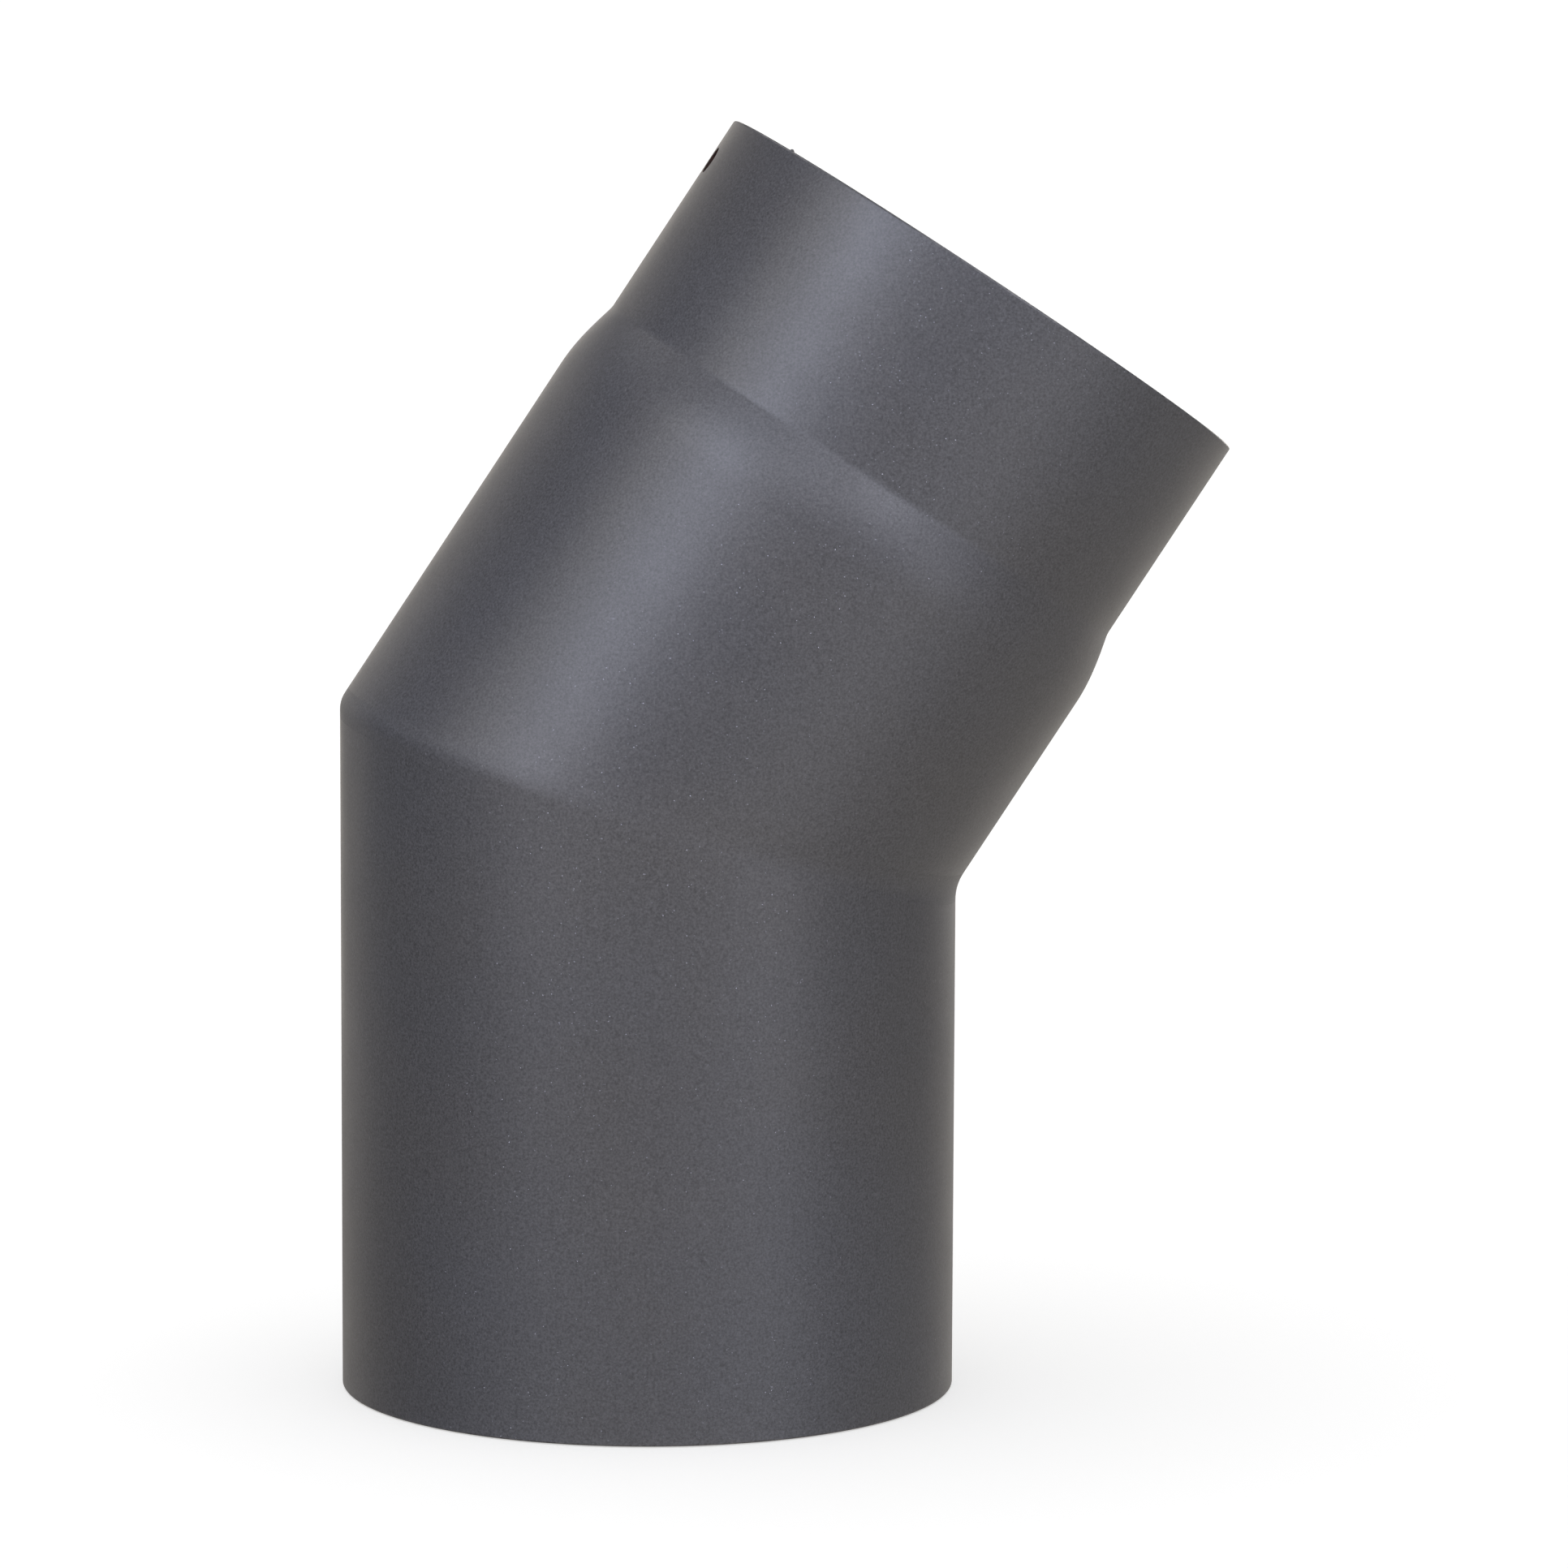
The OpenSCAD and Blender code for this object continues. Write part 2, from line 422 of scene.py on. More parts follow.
def miter_piece(name, materials, n=960, n_out=20, n_in=16):
    """The dressed circumferential weld: rounded outside, with its root run left inside."""
    shell = Shell()
    a = np.linspace(0, 2 * math.pi, n + 1)
    a[-1] = 0.0

    def curve(r, a, f, proud=0.0):
        a, f = np.broadcast_arrays(a, f)
        before = (1 - f) ** 2 * WELD_ROUND
        after = f**2 * WELD_ROUND
        base = np.stack([r * np.cos(a), r * np.sin(a), SOCKET_LEG - r * np.cos(a) * T_HALF - before], -1)
        base = base + after[..., None] * AXIS
        return base

    def outer(a, f):
        """Straight on from each leg, and rounded only close to the corner."""
        a, f = np.broadcast_arrays(a, f)
        corner = CORNER + (THROAT - CORNER) * np.clip(np.cos(a), 0, 1) ** 2
        h = np.clip((f - 0.2) / 0.6, 0, 1)
        before = np.where(f < 0.2, WELD_ROUND - (WELD_ROUND - corner) * f / 0.2, corner * (1 - h) ** 2)
        after = np.where(f > 0.8, corner + (WELD_ROUND - corner) * (f - 0.8) / 0.2, corner * h**2)
        base = np.stack([R_OUT * np.cos(a), R_OUT * np.sin(a), SOCKET_LEG - R_OUT * np.cos(a) * T_HALF - before], -1)
        return base + after[..., None] * AXIS

    def inner(a, f):
        base = curve(R_BORE, a, f)
        q = (f - 0.5) / 0.36
        crown = np.clip(1 - q**2, 0, 1) ** 1.5
        arc = np.broadcast_to(a, f.shape) * R_BORE
        h = crown * (0.55 * MM + 0.12 * MM * np.sin(arc / (17 * MM)) * np.sin(arc / (41 * MM) + 1) + ripple(q, arc, 0.24 * MM, 2.2 * MM, 0.6))
        d = np.stack([-np.cos(a) + 0 * f, -np.sin(a) + 0 * f, 0 * a * f], -1)
        return base + h[..., None] * d

    for fn, count, sign, mat in ((outer, n_out, 1, 0), (inner, n_in, -1, 1)):
        f = np.linspace(0, 1, count + 1)
        A, F = np.meshgrid(a, f)
        p, nn = fn(A, F), normals(fn, A, F)
        d = np.stack([np.cos(A), np.sin(A), 0 * A], -1) * sign
        shell.grid(p, nn, d, mat)
    m = np.array([math.sin(BEND / 2), 0, math.cos(BEND / 2)])
    for f, sign in ((0.0, -1), (1.0, 1)):
        A, F = a, np.full(len(a), f)
        shell.grid(np.stack([outer(A, F), inner(A, F)]), m * sign, None, 0)
    return shell.build(name, materials)


# ---------------------------------------------------------------- materials


def node_tools(tree):
    def add(kind, at=(0, 0), **values):
        n = tree.nodes.new(kind)
        n.location = at
        for k, v in values.items():
            if k in n.inputs:
                n.inputs[k].default_value = v
            else:
                setattr(n, k, v)
        return n

    def join(a, b):
        tree.links.new(a, b)

    return add, join


def paint(name, base=(0.071, 0.0705, 0.0735), rough=0.42, flake=1.0):
    """Heat-resistant cast-grey paint: satin, with fine metallic grain and a faint orange peel."""
    mat = bpy.data.materials.new(name)
    mat.use_nodes = True
    tree = mat.node_tree
    tree.nodes.clear()
    add, join = node_tools(tree)
    out = add("ShaderNodeOutputMaterial", (1400, 0))
    body = add("ShaderNodeBsdfPrincipled", (1000, 200))
    where = add("ShaderNodeTexCoord", (-1600, 0)).outputs["Object"]

    # slow drift of tone over the sprayed surface
    drift = add("ShaderNodeTexNoise", (-1200, 500), Scale=14.0, Detail=3.0, Roughness=0.5)
    join(where, drift.inputs["Vector"])
    tone = add("ShaderNodeMapRange", (-1000, 500))
    tone.inputs["From Min"].default_value, tone.inputs["From Max"].default_value = 0.3, 0.7
    tone.inputs["To Min"].default_value, tone.inputs["To Max"].default_value = 0.96, 1.04
    join(drift.outputs["Fac"], tone.inputs["Value"])

    # pigment grain
    grain = add("ShaderNodeTexNoise", (-1200, 250), Scale=1700.0, Detail=3.0, Roughness=0.65)
    join(where, grain.inputs["Vector"])
    speck = add("ShaderNodeMapRange", (-1000, 250))
    speck.inputs["From Min"].default_value, speck.inputs["From Max"].default_value = 0.25, 0.75
    speck.inputs["To Min"].default_value, speck.inputs["To Max"].default_value = 0.52, 1.48
    join(grain.outputs["Fac"], speck.inputs["Value"])
    both = add("ShaderNodeMath", (-780, 380), operation="MULTIPLY")
    join(tone.outputs[0], both.inputs[0])
    join(speck.outputs[0], both.inputs[1])
    hue = add("ShaderNodeTexNoise", (-1200, 750), Scale=9.0, Detail=3.0, Roughness=0.55)
    join(where, hue.inputs["Vector"])
    hue_range = add("ShaderNodeMapRange", (-1000, 750))
    hue_range.inputs["From Min"].default_value, hue_range.inputs["From Max"].default_value = 0.35, 0.65
    join(hue.outputs["Fac"], hue_range.inputs["Value"])
    two = add("ShaderNodeMix", (-780, 650), data_type="RGBA")
    join(hue_range.outputs[0], two.inputs["Factor"])
    two.inputs["A"].default_value = (base[0] * 1.025, base[1] * 1.005, base[2] * 0.97, 1)
    two.inputs["B"].default_value = (base[0] * 0.975, base[1] * 0.995, base[2] * 1.03, 1)
    colour = add("ShaderNodeVectorMath", (-560, 380), operation="SCALE")
    join(two.outputs["Result"], colour.inputs[0])
    join(both.outputs[0], colour.inputs["Scale"])

    # the paint is thinnest on the cut edges, where a little grey steel shows
    parts = add("ShaderNodeSeparateXYZ", (-1400, 1000))
    join(where, parts.inputs[0])
    along = add("ShaderNodeVectorMath", (-1400, 1200), operation="DOT_PRODUCT")
    join(where, along.inputs[0])
    along.inputs[1].default_value = tuple(AXIS)
    rim_at = float(RIM @ AXIS)
    low_edge = add("ShaderNodeMapRange", (-1200, 1000))
    low_edge.inputs["From Min"].default_value, low_edge.inputs["From Max"].default_value = 0.0001, 0.0007
    low_edge.inputs["To Min"].default_value, low_edge.inputs["To Max"].default_value = 1.0, 0.0
    join(parts.outputs["Z"], low_edge.inputs["Value"])
    high_edge = add("ShaderNodeMapRange", (-1200, 1200))
    high_edge.inputs["From Min"].default_value, high_edge.inputs["From Max"].default_value = rim_at - 0.0007, rim_at - 0.0001
    join(along.outputs["Value"], high_edge.inputs["Value"])
    edge = add("ShaderNodeMath", (-1000, 1100), operation="MAXIMUM")
    join(low_edge.outputs[0], edge.inputs[0])
    join(high_edge.outputs[0], edge.inputs[1])
    chips = add("ShaderNodeTexNoise", (-1200, 1450), Scale=240.0, Detail=5.0, Roughness=0.7)
    join(where, chips.inputs["Vector"])
    chip_range = add("ShaderNodeMapRange", (-1000, 1450))
    chip_range.inputs["From Min"].default_value, chip_range.inputs["From Max"].default_value = 0.50, 0.66
    chip_range.inputs["To Max"].default_value = 0.55
    join(chips.outputs["Fac"], chip_range.inputs["Value"])
    worn = add("ShaderNodeMath", (-780, 1200), operation="MULTIPLY")
    join(edge.outputs[0], worn.inputs[0])
    join(chip_range.outputs[0], worn.inputs[1])
    shown = add("ShaderNodeMix", (-300, 600), data_type="RGBA")
    join(worn.outputs[0], shown.inputs["Factor"])
    join(colour.outputs[0], shown.inputs["A"])
    shown.inputs["B"].default_value = (0.20, 0.195, 0.19, 1)
    join(shown.outputs["Result"], body.inputs["Base Color"])

    # roughness: satin, a little uneven
    uneven = add("ShaderNodeTexNoise", (-1200, 0), Scale=60.0, Detail=4.0, Roughness=0.55)
    join(where, uneven.inputs["Vector"])
    rr = add("ShaderNodeMapRange", (-1000, 0))
    rr.inputs["From Min"].default_value, rr.inputs["From Max"].default_value = 0.3, 0.7
    rr.inputs["To Min"].default_value, rr.inputs["To Max"].default_value = rough - 0.02, rough + 0.02
    join(uneven.outputs["Fac"], rr.inputs["Value"])
    join(rr.outputs[0], body.inputs["Roughness"])
    body.inputs["IOR"].default_value = 1.5
    body.inputs["Metallic"].default_value = 0.0

    # surface: orange peel and the dry grain of the matt binder
    peel = add("ShaderNodeTexNoise", (-1200, -300), Scale=420.0, Detail=2.0, Roughness=0.5)
    join(where, peel.inputs["Vector"])
    fine = add("ShaderNodeTexNoise", (-1200, -550), Scale=3200.0, Detail=2.0, Roughness=0.6)
    join(where, fine.inputs["Vector"])
    b1 = add("ShaderNodeBump", (-700, -300), Strength=1.0, Distance=0.000010)
    b2 = add("ShaderNodeBump", (-460, -300), Strength=1.0, Distance=0.000011)
    join(peel.outputs["Fac"], b1.inputs["Height"])
    join(fine.outputs["Fac"], b2.inputs["Height"])
    join(b1.outputs[0], b2.inputs["Normal"])
    join(b2.outputs[0], body.inputs["Normal"])

    # metallic flakes: tiny tilted mirrors, few of which catch the light at once
    cells = add("ShaderNodeTexVoronoi", (-1200, -850), Scale=2600.0)
    join(where, cells.inputs["Vector"])
    pick = add("ShaderNodeSeparateColor", (-1000, -850))
    join(cells.outputs["Color"], pick.inputs[0])
    rare = add("ShaderNodeMath", (-800, -850), operation="GREATER_THAN")
    rare.inputs[1].default_value = 1 - 0.022 * flake
    join(pick.outputs["Blue"], rare.inputs[0])
    near = add("ShaderNodeMath", (-800, -1020), operation="LESS_THAN")
    near.inputs[1].default_value = 0.34
    join(cells.outputs["Distance"], near.inputs[0])
    mask = add("ShaderNodeMath", (-600, -900), operation="MULTIPLY")
    join(rare.outputs[0], mask.inputs[0])
    join(near.outputs[0], mask.inputs[1])
    share = add("ShaderNodeMath", (-420, -900), operation="MULTIPLY")
    share.inputs[1].default_value = 0.5
    join(mask.outputs[0], share.inputs[0])
    tilt = add("ShaderNodeVectorMath", (-800, -1200), operation="SUBTRACT")
    join(cells.outputs["Color"], tilt.inputs[0])
    tilt.inputs[1].default_value = (0.5, 0.5, 0.5)
    size = add("ShaderNodeVectorMath", (-600, -1200), operation="SCALE")
    join(tilt.outputs[0], size.inputs[0])
    size.inputs["Scale"].default_value = 0.5
    geo = add("ShaderNodeNewGeometry", (-800, -1400))
    lean = add("ShaderNodeVectorMath", (-400, -1250), operation="ADD")
    join(size.outputs[0], lean.inputs[0])
    join(geo.outputs["Normal"], lean.inputs[1])
    unit = add("ShaderNodeVectorMath", (-220, -1250), operation="NORMALIZE")
    join(lean.outputs[0], unit.inputs[0])
    flakes = add("ShaderNodeBsdfPrincipled", (600, -500))
    flakes.inputs["Base Color"].default_value = (0.20, 0.20, 0.215, 1)
    flakes.inputs["Metallic"].default_value = 1.0
    flakes.inputs["Roughness"].default_value = 0.34
    join(unit.outputs[0], flakes.inputs["Normal"])
    mix = add("ShaderNodeMixShader", (1200, 0))
    join(share.outputs[0], mix.inputs[0])
    join(body.outputs[0], mix.inputs[1])
    join(flakes.outputs[0], mix.inputs[2])
    join(mix.outputs[0], out.inputs["Surface"])
    return mat


def bare_inside(name, rough=0.5):
    """The inside: blue-brown mill scale on bare sheet, with paint overspray near the two mouths."""
    mat = bpy.data.materials.new(name)
    mat.use_nodes = True
    tree = mat.node_tree
    tree.nodes.clear()
    add, join = node_tools(tree)
    out = add("ShaderNodeOutputMaterial", (1400, 0))
    body = add("ShaderNodeBsdfPrincipled", (1000, 0))
    where = add("ShaderNodeTexCoord", (-1600, 0)).outputs["Object"]
    scale_noise = add("ShaderNodeTexNoise", (-1200, 300), Scale=38.0, Detail=6.0, Roughness=0.6)
    join(where, scale_noise.inputs["Vector"])
    ramp = add("ShaderNodeValToRGB", (-900, 300))
    e = ramp.color_ramp.elements
    e[0].position, e[0].color = 0.3, (0.045, 0.042, 0.043, 1)
    e[1].position, e[1].color = 0.72, (0.092, 0.074, 0.062, 1)
    mid = ramp.color_ramp.elements.new(0.52)
    mid.color = (0.066, 0.060, 0.060, 1)
    join(scale_noise.outputs["Fac"], ramp.inputs[0])
    # overspray: strongest at either mouth
    low = add("ShaderNodeSeparateXYZ", (-1400, -200))
    join(where, low.inputs[0])
    dot = add("ShaderNodeVectorMath", (-1400, -420), operation="DOT_PRODUCT")
    join(where, dot.inputs[0])
    dot.inputs[1].default_value = tuple(AXIS)
    far = float(RIM @ AXIS)
    a = add("ShaderNodeMapRange", (-1150, -200))
    a.inputs["From Min"].default_value, a.inputs["From Max"].default_value = 0.0, 0.055
    a.inputs["To Min"].default_value, a.inputs["To Max"].default_value = 1.0, 0.0
    join(low.outputs["Z"], a.inputs["Value"])
    b = add("ShaderNodeMapRange", (-1150, -420))
    b.inputs["From Min"].default_value, b.inputs["From Max"].default_value = far - 0.055, far
    b.inputs["To Min"].default_value, b.inputs["To Max"].default_value = 0.0, 1.0
    join(dot.outputs["Value"], b.inputs["Value"])
    top = add("ShaderNodeMath", (-950, -300), operation="MAXIMUM")
    join(a.outputs[0], top.inputs[0])
    join(b.outputs[0], top.inputs[1])
    mist = add("ShaderNodeTexNoise", (-1200, -650), Scale=2100.0, Detail=3.0, Roughness=0.65)
    join(where, mist.inputs["Vector"])
    mist_r = add("ShaderNodeMapRange", (-950, -620))
    mist_r.inputs["From Min"].default_value, mist_r.inputs["From Max"].default_value = 0.35, 0.65
    mist_r.inputs["To Min"].default_value, mist_r.inputs["To Max"].default_value = -0.30, 0.30
    join(mist.outputs["Fac"], mist_r.inputs["Value"])
    amount = add("ShaderNodeMath", (-720, -380), operation="ADD", use_clamp=True)
    join(top.outputs[0], amount.inputs[0])
    join(mist_r.outputs[0], amount.inputs[1])
    edge = add("ShaderNodeMapRange", (-540, -380))
    edge.interpolation_type = "SMOOTHSTEP"
    edge.inputs["From Min"].default_value, edge.inputs["From Max"].default_value = 0.2, 0.75
    join(amount.outputs[0], edge.inputs["Value"])
    col = add("ShaderNodeMix", (-200, 200), data_type="RGBA")
    join(edge.outputs[0], col.inputs["Factor"])
    join(ramp.outputs[0], col.inputs["A"])
    col.inputs["B"].default_value = (0.082, 0.080, 0.086, 1)
    join(col.outputs["Result"], body.inputs["Base Color"])
    metal = add("ShaderNodeMath", (-200, -100), operation="MULTIPLY_ADD")
    join(edge.outputs[0], metal.inputs[0])
    metal.inputs[1].default_value = -0.45
    metal.inputs[2].default_value = 0.45
    join(metal.outputs[0], body.inputs["Metallic"])
    r = add("ShaderNodeMapRange", (-200, -300))
    r.inputs["From Min"].default_value, r.inputs["From Max"].default_value = 0.3, 0.7
    r.inputs["To Min"].default_value, r.inputs["To Max"].default_value = rough - 0.08, rough + 0.06
    join(scale_noise.outputs["Fac"], r.inputs["Value"])
    join(r.outputs[0], body.inputs["Roughness"])
    fine = add("ShaderNodeTexNoise", (-1200, -900), Scale=900.0, Detail=4.0, Roughness=0.6)
    join(where, fine.inputs["Vector"])
    bump = add("ShaderNodeBump", (-200, -600), Strength=1.0, Distance=0.00002)
    join(fine.outputs["Fac"], bump.inputs["Height"])
    join(bump.outputs[0], body.inputs["Normal"])
    join(body.outputs[0], out.inputs["Surface"])
    return mat


def punched_edge(name):
    """The sheared wall of the punched hole: paint has not reached it, so it is bare and a little rusty; its near-black
    colour is also painted shade, the darkness of the narrow hole put into the colour.
    """
    mat = bpy.data.materials.new(name)
    mat.use_nodes = True
    tree = mat.node_tree
    tree.nodes.clear()
    add, join = node_tools(tree)
    out = add("ShaderNodeOutputMaterial", (800, 0))
    body = add("ShaderNodeBsdfPrincipled", (500, 0))
    where = add("ShaderNodeTexCoord", (-900, 0)).outputs["Object"]
    spots = add("ShaderNodeTexNoise", (-600, 0), Scale=700.0, Detail=5.0, Roughness=0.65)
    join(where, spots.inputs["Vector"])
    # near black to dark rust brown: the rust spots are real, the near-black depth is painted shade of the hole's
    # recess
    ramp = add("ShaderNodeValToRGB", (-300, 0))
    e = ramp.color_ramp.elements
    e[0].position, e[0].color = 0.38, (0.012, 0.011, 0.012, 1)
    e[1].position, e[1].color = 0.68, (0.052, 0.020, 0.012, 1)
    join(spots.outputs["Fac"], ramp.inputs[0])
    join(ramp.outputs[0], body.inputs["Base Color"])
    body.inputs["Roughness"].default_value = 0.75
    body.inputs["Specular IOR Level"].default_value = 0.25
    bump = add("ShaderNodeBump", (200, -300), Strength=1.0, Distance=0.00003)
    join(spots.outputs["Fac"], bump.inputs["Height"])
    join(bump.outputs[0], body.inputs["Normal"])
    join(body.outputs[0], out.inputs["Surface"])
    return mat


PAINT = paint("cast_grey_paint")
WELD_PAINT = paint("cast_grey_paint_on_weld", rough=0.47)
INSIDE = bare_inside("mill_scale_inside")
INSIDE_WELD = bare_inside("mill_scale_weld_root", rough=0.42)
HOLE_WALL_RUST_AND_SHADE = punched_edge("punched_hole_wall_rust_and_painted_shade")

# ---------------------------------------------------------------- build

lower, upper = Leg(False), Leg(True)
pieces = {
    "lower_tube": (leg_piece("elbow_lower_tube", lower, angles_round(252, False, False), [PAINT, INSIDE]), "painted_steel"),
    "upper_tube": (
        leg_piece("elbow_upper_tube", upper, angles_round(252, True, True), [PAINT, INSIDE, HOLE_WALL_RUST_AND_SHADE], hole=True, with_nib=True),
        "painted_steel",
    ),
    "miter_weld": (miter_piece("elbow_miter_weld", [WELD_PAINT, INSIDE_WELD]), "painted_weld"),
    "lower_seam_weld": (
        leg_piece("elbow_lower_seam_weld", lower, steps(math.pi / 2 - SEAM_HALF, math.pi / 2 + SEAM_HALF, 10), [WELD_PAINT, INSIDE_WELD], seam=True, fine=0.32 * MM),
        "painted_weld",
    ),
    "upper_seam_weld": (
        leg_piece("elbow_upper_seam_weld", upper, steps(math.pi / 2 - SEAM_HALF, math.pi / 2 + SEAM_HALF, 10), [WELD_PAINT, INSIDE_WELD], seam=True, fine=0.32 * MM),
        "painted_weld",
    ),
}
for node, (piece, slot) in pieces.items():
    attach(piece, "root")
    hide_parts(node)

# ---------------------------------------------------------------- stage
# A pale floor and a plain pale backdrop. Both are only seen, so the pipe is
# lit by the softboxes alone and keeps its dark edges. The floor has a wide
# lamp of its own, which gives the soft shadow round the pipe's foot.


def stage_mesh(name, verts, faces, glow, diffuse):
    mesh = bpy.data.meshes.new(name)
    mesh.from_pydata(verts, [], faces)
    obj = bpy.data.objects.new(name, mesh)
    bpy.context.scene.collection.objects.link(obj)
    mat = bpy.data.materials.new(name + "_finish")
    mat.use_nodes = True
    body = mat.node_tree.nodes["Principled BSDF"]
    body.inputs["Base Color"].default_value = (diffuse, diffuse, diffuse, 1)
    body.inputs["Roughness"].default_value = 1.0
    body.inputs["Specular IOR Level"].default_value = 0.0
    body.inputs["Emission Color"].default_value = (1, 1, 1, 1)
    body.inputs["Emission Strength"].default_value = glow
    mesh.materials.append(mat)
    for flag in ("visible_diffuse", "visible_glossy", "visible_transmission", "visible_volume_scatter", "visible_shadow"):
        setattr(obj, flag, False)
    return obj


def pale_floor(radius=40.0, n=96, z=-0.0002):
    ring = [(radius * math.cos(2 * math.pi * k / n), radius * math.sin(2 * math.pi * k / n), z) for k in range(n)]
    return stage_mesh("floor", [(0.0, 0.0, z)] + ring, [(0, 1 + k, 1 + (k + 1) % n) for k in range(n)], 0.52, 0.9)


def pale_backdrop(radius=41.0, n=48, m=16):
    verts = [
        (
            radius * math.cos(2 * math.pi * k / n) * math.cos(math.radians(-6 + 96 * j / m)),
            radius * math.sin(2 * math.pi * k / n) * math.cos(math.radians(-6 + 96 * j / m)),
            radius * math.sin(math.radians(-6 + 96 * j / m)),
        )
        for j in range(m)
        for k in range(n)
    ] + [(0.0, 0.0, radius)]
    faces = [(j * n + k, j * n + (k + 1) % n, (j + 1) * n + (k + 1) % n, (j + 1) * n + k) for j in range(m - 1) for k in range(n)]
    faces += [((m - 1) * n + k, (m - 1) * n + (k + 1) % n, m * n) for k in range(n)]
    return stage_mesh("backdrop", verts, faces, 1.0, 0.0)


floor, backdrop = pale_floor(), pale_backdrop()

CENTRE = Vector((0.034, 0.0, 0.158))
lit_by_studio = bpy.data.collections.new("lit_by_studio")
for piece, _ in pieces.values():
    lit_by_studio.objects.link(piece)
lit_by_floor_lamp = bpy.data.collections.new("lit_by_floor_lamp")
lit_by_floor_lamp.objects.link(floor)


def softbox(name, azimuth, elevation, distance, size, power, colour=(1, 1, 1)):
    """A big plain diffuser. Azimuth is measured from the front, positive to the left as the viewer sees it."""
    a, e = math.radians(azimuth), math.radians(elevation)
    back = Vector((-math.sin(a) * math.cos(e), -math.cos(a) * math.cos(e), math.sin(e)))
    light = bpy.data.lights.new(name, "AREA")
    light.shape = "RECTANGLE"
    light.size, light.size_y = size
    light.energy = power
    light.color = colour
    obj = bpy.data.objects.new(name, light)
    obj.location = CENTRE + back * distance
    obj.rotation_mode = "QUATERNION"
    obj.rotation_quaternion = back.to_track_quat("Z", "Y")
    obj.visible_camera = False
    obj.light_linking.receiver_collection = lit_by_studio
    bpy.context.scene.collection.objects.link(obj)
    return obj


COOLER, COOL, NEUTRAL, WARM = (0.90, 0.955, 1.16), (0.94, 0.955, 1.10), (1.04, 1.0, 0.95), (1.07, 1.0, 0.91)
LIGHTS = [
    ("key_middle", 46, 36, 2.2, (0.7, 0.7), 15.2, COOLER),
    ("key_lower", 46, 12, 2.2, (0.7, 0.7), 11.0, COOL),
    ("key_outer", 70, 36, 2.2, (0.7, 0.7), 5.7, NEUTRAL),
    ("front", 10, 36, 2.2, (0.7, 0.7), 7.2, COOL),
    ("fill", -26, 28, 2.2, (0.8, 0.8), 18.2, COOL),
    ("fill_lower", -40, 2, 2.2, (0.8, 0.8), 6.0, COOL),
    ("right_high", -88, 58, 2.2, (1.2, 1.2), 15.2, NEUTRAL),
    ("side_left", 145, -1, 2.2, (1.2, 1.2), 0.9, WARM),
    ("back_left", 148, 12, 2.2, (1.2, 1.2), 2.7, WARM),
    ("back_left_high", 150, 59, 2.2, (1.2, 1.2), 9.5, NEUTRAL),
    ("back_right", -154, 10, 2.2, (1.2, 1.2), 21.0, NEUTRAL),
    ("back", 180, 4, 2.2, (1.2, 1.2), 6.0, WARM),
]
# light thrown back from below the horizon: azimuth as for the softboxes, strength
FROM_BELOW = [(0, 0.69), (-60, 0.19), (-125, 0.32), (180, 0.44), (125, 0.12)]
for spec in LIGHTS:
    softbox(*spec)

lamp = bpy.data.lights.new("floor_lamp", "SUN")
lamp.energy = 1.9
lamp.angle = math.radians(110)
lamp_object = bpy.data.objects.new("floor_lamp", lamp)
lamp_object.light_linking.receiver_collection = lit_by_floor_lamp
bpy.context.scene.collection.objects.link(lamp_object)

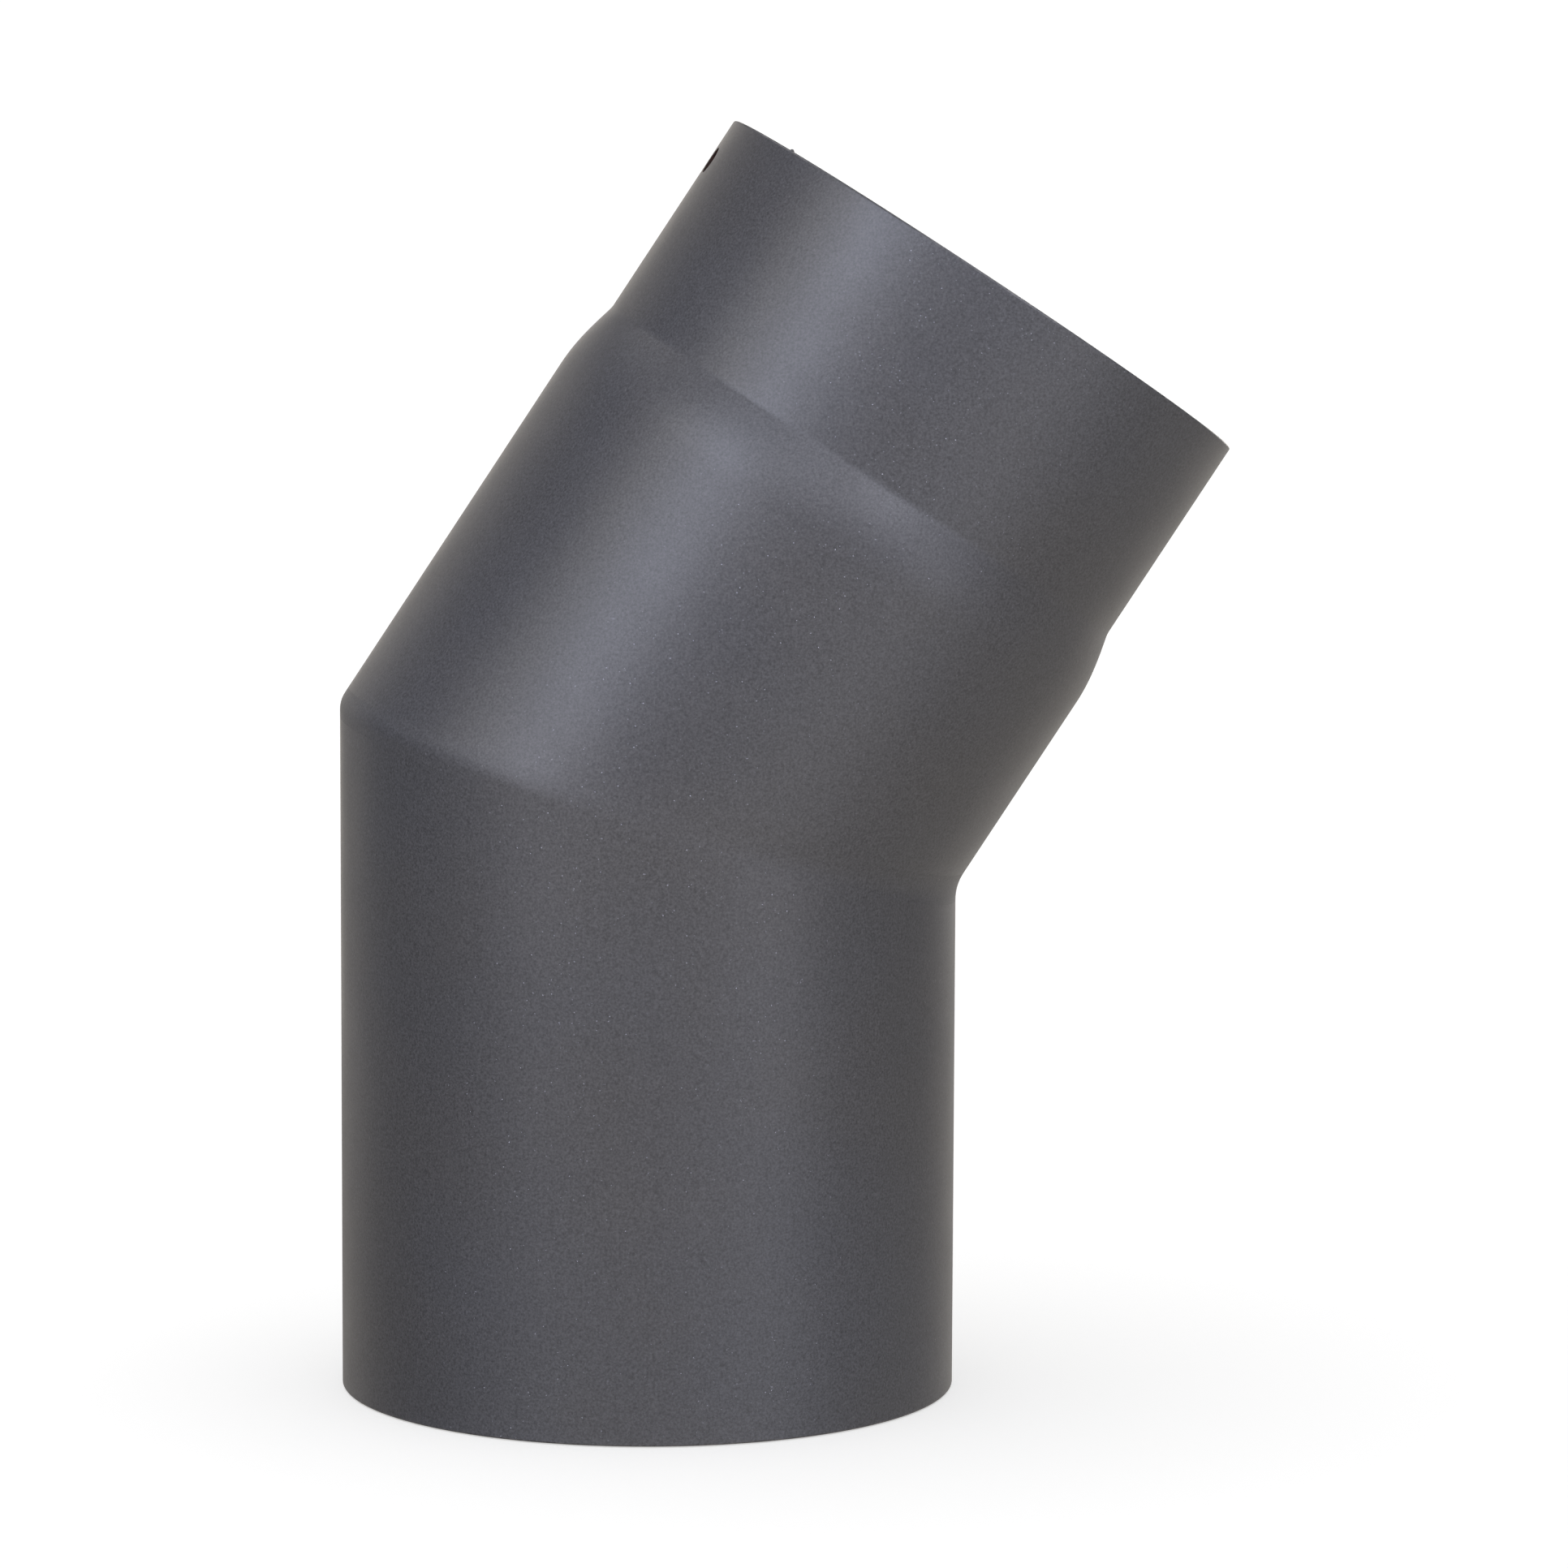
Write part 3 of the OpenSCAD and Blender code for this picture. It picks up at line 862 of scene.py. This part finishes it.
world = bpy.data.worlds.new("studio")
bpy.context.scene.world = world
world.use_nodes = True
background = world.node_tree.nodes["Background"]
background.inputs[0].default_value = (1.06, 1.0, 0.92, 1)
add, join = node_tools(world.node_tree)
direction = add("ShaderNodeTexCoord", (-1400, 0))
level = add("ShaderNodeVectorMath", (-1200, 0), operation="MULTIPLY")
level.inputs[1].default_value = (1, 1, 0)
join(direction.outputs["Generated"], level.inputs[0])
heading = add("ShaderNodeVectorMath", (-1000, 0), operation="NORMALIZE")
join(level.outputs[0], heading.inputs[0])
total = None
for k, (azimuth, strength) in enumerate(FROM_BELOW):
    toward = add("ShaderNodeVectorMath", (-800, -180 * k), operation="DOT_PRODUCT")
    toward.inputs[1].default_value = (-math.sin(math.radians(azimuth)), -math.cos(math.radians(azimuth)), 0)
    join(heading.outputs[0], toward.inputs[0])
    lobe = add("ShaderNodeMapRange", (-600, -180 * k))
    lobe.interpolation_type = "SMOOTHSTEP"
    lobe.inputs["From Min"].default_value, lobe.inputs["From Max"].default_value = 0.35, 0.9
    lobe.inputs["To Min"].default_value, lobe.inputs["To Max"].default_value = 0.0, strength
    join(toward.outputs["Value"], lobe.inputs["Value"])
    if total is None:
        total = lobe.outputs[0]
    else:
        both = add("ShaderNodeMath", (-400, -180 * k), operation="ADD")
        join(total, both.inputs[0])
        join(lobe.outputs[0], both.inputs[1])
        total = both.outputs[0]
split = add("ShaderNodeSeparateXYZ", (-1200, 300))
join(direction.outputs["Generated"], split.inputs[0])
below = add("ShaderNodeMapRange", (-1000, 300))
below.interpolation_type = "SMOOTHSTEP"
below.inputs["From Min"].default_value, below.inputs["From Max"].default_value = -0.2, -0.05
below.inputs["To Min"].default_value, below.inputs["To Max"].default_value = 1.0, 0.0
join(split.outputs["Z"], below.inputs["Value"])
strength_node = add("ShaderNodeMath", (-200, 0), operation="MULTIPLY")
join(total, strength_node.inputs[0])
join(below.outputs[0], strength_node.inputs[1])
join(strength_node.outputs[0], background.inputs[1])

# ---------------------------------------------------------------- camera
# The viewing angle: from the front, 5.5 degrees round towards the outer side
# of the bend, looking slightly down.
CAM = {"f": 8368.83413, "D": 21.89839, "yaw": 5.5, "h": 4.7957, "pan": 1.15146, "pitch": 7.34465, "roll": 0.24655}


def make_camera():
    unit = R_OUT
    yaw, pitch, roll = (math.radians(CAM[k]) for k in ("yaw", "pitch", "roll"))
    heading = yaw + math.radians(CAM["pan"])
    place_at = Vector((-math.sin(yaw) * CAM["D"], -math.cos(yaw) * CAM["D"], CAM["h"])) * unit
    fwd = Vector((math.sin(heading) * math.cos(pitch), math.cos(heading) * math.cos(pitch), -math.sin(pitch)))
    right = Vector((math.cos(heading), -math.sin(heading), 0))
    up = right.cross(fwd)
    r2 = math.cos(roll) * right + math.sin(roll) * up
    u2 = -math.sin(roll) * right + math.cos(roll) * up
    data = bpy.data.cameras.new("camera")
    data.sensor_width = 36.0
    data.lens = CAM["f"] * 36.0 / 1932.0
    data.clip_start, data.clip_end = 0.01, 100
    data.dof.use_dof = False
    obj = bpy.data.objects.new("camera", data)
    m = Matrix((r2, u2, -fwd)).transposed().to_4x4()
    m.translation = place_at
    obj.matrix_world = m
    bpy.context.scene.collection.objects.link(obj)
    bpy.context.scene.camera = obj


make_camera()
bpy.context.scene.view_settings.view_transform = "Standard"
bpy.context.scene.view_settings.look = "None"
